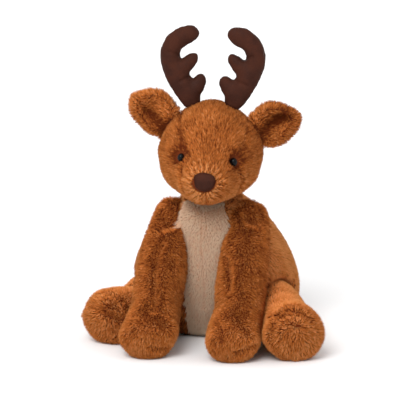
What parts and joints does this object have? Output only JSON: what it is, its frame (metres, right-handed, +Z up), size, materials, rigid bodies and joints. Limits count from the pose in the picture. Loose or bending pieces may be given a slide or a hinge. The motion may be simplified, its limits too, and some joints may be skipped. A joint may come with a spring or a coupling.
{
  "type": "plush reindeer",
  "caption": "Seated plush reindeer with floppy sewn-on legs, branched suedette antlers, cupped ears, bead eyes and a cream belly.",
  "frame": {"origin": "middle of the flat seat, on the surface that the toy sits on", "axes": "+Z up through the head; the toy faces -Y and its left is +X"},
  "size_m": [0.2576, 0.2622, 0.3282],
  "materials": {
    "rust_plush": "short dense pile",
    "caramel_plush": "short dense pile",
    "cream_plush": "short dense pile",
    "brown_suedette": "matte brushed cloth",
    "black_bead": "polished",
    "white_washer": "moulded",
    "white_filling": "loose fibre",
    "linen_pouch": "plain weave"
  },
  "bodies": {
    "body": {"body_cover": "rust_plush", "belly_panel": "cream_plush", "body_filling": "white_filling", "pellet_pouch": "linen_pouch"},
    "neck": {"neck_filling": "white_filling"},
    "head": {"head_cover": "caramel_plush", "head_filling": "white_filling", "nose": "brown_suedette", "eye_left": "black_bead", "eye_right": "black_bead", "eye_washer_left": "white_washer", "eye_washer_right": "white_washer"},
    "ear_left": {"ear_back_left": "rust_plush", "ear_lining_left": "rust_plush"},
    "antler_left": {"antler_cover_left": "brown_suedette", "antler_filling_left": "white_filling"},
    "front_leg_left": {"front_leg_cover_left": "rust_plush", "front_leg_filling_left": "white_filling"},
    "hind_leg_left": {"hind_leg_cover_left": "rust_plush", "hind_leg_filling_left": "white_filling", "foot_sole_left": "caramel_plush"},
    "ear_right": {"ear_back_right": "rust_plush", "ear_lining_right": "rust_plush"},
    "antler_right": {"antler_cover_right": "brown_suedette", "antler_filling_right": "white_filling"},
    "front_leg_right": {"front_leg_cover_right": "rust_plush", "front_leg_filling_right": "white_filling"},
    "hind_leg_right": {"hind_leg_cover_right": "rust_plush", "hind_leg_filling_right": "white_filling", "foot_sole_right": "caramel_plush"},
    "tail": {"tail": "rust_plush"}
  },
  "joints": [
    {"name": "neck_turn", "type": "hinge", "parent": "body", "child": "neck", "pos_m": [0, -0.027, 0.15], "axis": [0, 0, 1], "range_deg": [-30, 30], "stiffness_Nm_per_rad": 0.6},
    {"name": "neck_nod", "type": "hinge", "parent": "neck", "child": "head", "pos_m": [0, -0.027, 0.15], "axis": [1, 0, 0], "range_deg": [-10, 10], "stiffness_Nm_per_rad": 0.8},
    {"name": "ear_flop_left", "type": "hinge", "parent": "head", "child": "ear_left", "pos_m": [0.04955, -0.03787, 0.21869], "axis": [0.3243, 0.0284, -0.9455], "range_deg": [-18, 18], "stiffness_Nm_per_rad": 0.05},
    {"name": "antler_flex_left", "type": "hinge", "parent": "head", "child": "antler_left", "pos_m": [0.02443, -0.04007, 0.2468], "axis": [0.9962, 0.0872, -0.0087], "range_deg": [-15, 15], "stiffness_Nm_per_rad": 0.1},
    {"name": "shoulder_swing_left", "type": "hinge", "parent": "body", "child": "front_leg_left", "pos_m": [0.041, -0.03, 0.123], "axis": [-1, 0, 0], "range_deg": [0, 30]},
    {"name": "hip_spread_left", "type": "hinge", "parent": "body", "child": "hind_leg_left", "pos_m": [0.06, -0.024, 0.034], "axis": [0, 0, 1], "range_deg": [0, 25]},
    {"name": "ear_flop_right", "type": "hinge", "parent": "head", "child": "ear_right", "pos_m": [-0.04171, -0.04585, 0.22509], "axis": [0.5279, 0.0462, 0.848], "range_deg": [-18, 18], "stiffness_Nm_per_rad": 0.05},
    {"name": "antler_flex_right", "type": "hinge", "parent": "head", "child": "antler_right", "pos_m": [-0.01745, -0.04373, 0.24774], "axis": [0.9962, 0.0872, -0.0087], "range_deg": [-15, 15], "stiffness_Nm_per_rad": 0.1},
    {"name": "shoulder_swing_right", "type": "hinge", "parent": "body", "child": "front_leg_right", "pos_m": [-0.041, -0.03, 0.123], "axis": [-1, 0, 0], "range_deg": [0, 30]},
    {"name": "hip_spread_right", "type": "hinge", "parent": "body", "child": "hind_leg_right", "pos_m": [-0.06, -0.002, 0.034], "axis": [0, 0, -1], "range_deg": [0, 25]},
    {"name": "tail_wag", "type": "hinge", "parent": "body", "child": "tail", "pos_m": [0, 0.0735, 0.056], "axis": [0, 0, 1], "range_deg": [-20, 20], "stiffness_Nm_per_rad": 0.02}
  ]
}
